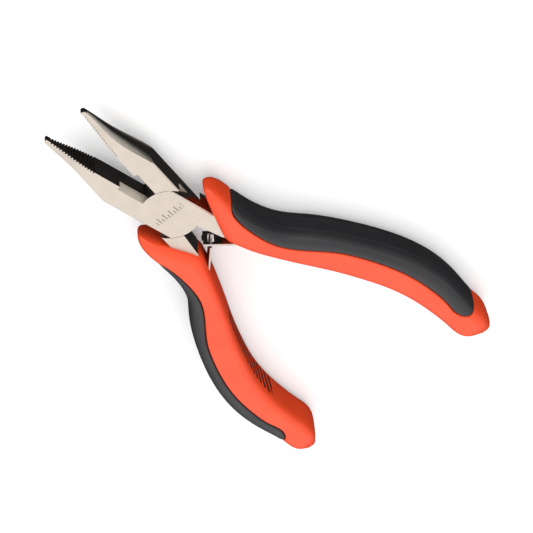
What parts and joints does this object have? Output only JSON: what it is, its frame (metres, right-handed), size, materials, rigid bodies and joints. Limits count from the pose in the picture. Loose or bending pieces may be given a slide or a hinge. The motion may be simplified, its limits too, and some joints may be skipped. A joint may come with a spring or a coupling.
{
  "type": "long nose pliers",
  "caption": "Small spring-opening long nose pliers with toothed jaws, side cutter, lap joint, crossing leaf springs and two-tone moulded grips.",
  "frame": {"origin": "on the pivot axis, at the head's ground back face", "axes": "+X along the tool's centre line towards the jaw tips, +Z along the pivot axis out of the front face, +Y across the tool; the tool lies flat and sprung open"},
  "size_m": [0.1194, 0.0668, 0.0118],
  "materials": {
    "steel": "finely ground satin faces, polished dark flanks",
    "rivet_steel": "ground flush",
    "spring_steel": "bright strip",
    "grip_orange": "semi-matte moulded",
    "grip_grey": "soft, semi-matte, with a fine lengthwise texture"
  },
  "bodies": {
    "front_lever": {"lever_front": "steel", "pivot_rivet": "rivet_steel", "leaf_spring_front": "spring_steel", "spring_rivet_front": "rivet_steel", "grip_body_front": "grip_orange", "grip_insert_front": "grip_grey"},
    "rear_lever": {"lever_rear": "steel", "leaf_spring_rear": "spring_steel", "spring_rivet_rear": "rivet_steel", "grip_body_rear": "grip_orange", "grip_insert_rear": "grip_grey"}
  },
  "joints": [
    {"name": "pivot", "type": "hinge", "parent": "front_lever", "child": "rear_lever", "pos_m": [0, 0, 0.003], "axis": [0, 0, 1], "range_deg": [-12, 17.4], "stiffness_Nm_per_rad": 1.5, "deforming": ["leaf_spring_front", "leaf_spring_rear"]}
  ]
}
